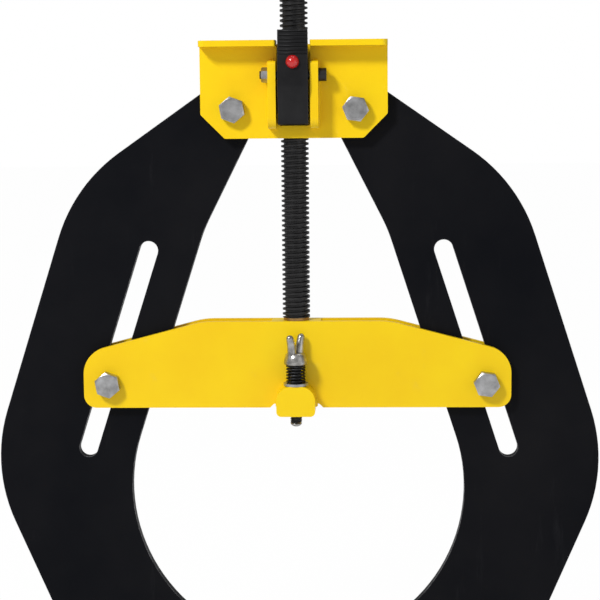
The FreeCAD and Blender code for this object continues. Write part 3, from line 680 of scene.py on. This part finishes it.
def weldLugs(v):
    lean = math.radians(v["jawLean"])
    for word, way in (("Front", -1), ("Back", 1)):
        low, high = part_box("crossbar_lug_" + word.lower())
        face = way * v["barFace"]
        for tag, edge in (("A", -v["lugEdge"]), ("B", v["lugEdge"])):
            weldBead("barLugWeld" + word + tag, (edge, face, low[2] + v["barLow"]),
                     (edge, face, low[2] + v["barHigh"]), "crossbar", "yellow_coat", v)
        for side, body, sx in (("Left", "left_arm", -1), ("Right", "right_arm", 1)):
            out = Vector((sx * math.sin(lean), 0, -math.cos(lean)))
            across = Vector((math.cos(lean), 0, sx * math.sin(lean)))
            for tag, edge in (("A", -v["lugEdge"]), ("B", v["lugEdge"])):
                foot = out * v["jawFoot"] + across * edge + Vector((0, way * v["jawFace"], 0))
                weldBead("jawLugWeld" + side + word + tag, foot, foot + out * v["jawLong"],
                         body, "black_coat", v)


weldEars(welds)
weldLugs(welds)
print("welds laid")

studio = {"world": 0.34, "floorPale": 0.86, "floorGlow": 0.985, "floorHalf": 14.0,
          "floorDrop": 0.0005,
          "key": {"place": (-1.3, -1.7, 1.9), "aim": (0, 0, 0.15), "wide": (0.45, 0.45),
                  "power": 52.0},
          "fill": {"place": (1.9, -1.5, 0.6), "aim": (0, 0, 0.15), "wide": (1.4, 1.4),
                   "power": 5.0},
          "top": {"place": (0.2, 0.6, 2.2), "aim": (0, 0, 0.2), "wide": (1.4, 1.0),
                  "power": 14.0}}


def addLamp(name, v):
    data = bpy.data.lights.new(name, "AREA")
    data.shape = "RECTANGLE"
    data.size, data.size_y = v["wide"]
    data.energy = v["power"]
    lamp = bpy.data.objects.new(name, data)
    bpy.context.collection.objects.link(lamp)
    lamp.location = v["place"]
    away = Vector(v["aim"]) - Vector(v["place"])
    lamp.rotation_euler = away.to_track_quat("-Z", "Y").to_euler()


def makeStudio(v):
    low, high = cadBox
    s = Shader("paleFloor")
    path = s.node("ShaderNodeLightPath")
    seen = s.node("ShaderNodeMath", {"operation": "MAXIMUM"},
                  {0: path["Is Camera Ray"], 1: path["Is Glossy Ray"]})[0]
    seen = s.node("ShaderNodeMath", {"operation": "MAXIMUM"},
                  {0: seen, 1: path["Is Transmission Ray"]})[0]
    pale = s.node("ShaderNodeBsdfDiffuse", None, {"Color": (v["floorPale"],) * 3 + (1,)})["BSDF"]
    glow = s.node("ShaderNodeEmission", None, {"Color": (1, 1, 1, 1), "Strength": 1.0})["Emission"]
    mixed = s.node("ShaderNodeMixShader", None, {0: seen * v["floorGlow"], 1: pale, 2: glow})[0]
    s.node("ShaderNodeOutputMaterial", None, {"Surface": mixed})
    mesh = bpy.data.meshes.new("floor")
    z, half = low[2] - v["floorDrop"], v["floorHalf"]
    corners = [(-half, -half, z), (half, -half, z), (half, half, z), (-half, half, z)]
    mesh.from_pydata(corners, [], [(0, 1, 2, 3)])
    floor = bpy.data.objects.new("floor", mesh)
    bpy.context.collection.objects.link(floor)
    mesh.materials.append(s.material)
    world = bpy.data.worlds.new("world")
    bpy.context.scene.world = world
    world.use_nodes = True
    tree = world.node_tree
    tree.nodes.clear()
    path = tree.nodes.new("ShaderNodeLightPath")
    soft = tree.nodes.new("ShaderNodeBackground")
    soft.inputs["Color"].default_value = (1, 1, 1, 1)
    soft.inputs["Strength"].default_value = v["world"]
    white = tree.nodes.new("ShaderNodeBackground")
    white.inputs["Strength"].default_value = 1.0
    white.inputs["Color"].default_value = (1, 1, 1, 1)
    mixed = tree.nodes.new("ShaderNodeMixShader")
    out = tree.nodes.new("ShaderNodeOutputWorld")
    tree.links.new(path.outputs["Is Camera Ray"], mixed.inputs[0])
    tree.links.new(soft.outputs[0], mixed.inputs[1])
    tree.links.new(white.outputs[0], mixed.inputs[2])
    tree.links.new(mixed.outputs[0], out.inputs["Surface"])
    for word in ("key", "fill", "top"):
        addLamp(word + "Lamp", v[word])


makeStudio(studio)
bpy.context.scene.view_settings.view_transform = "Standard"
print("studio lit")
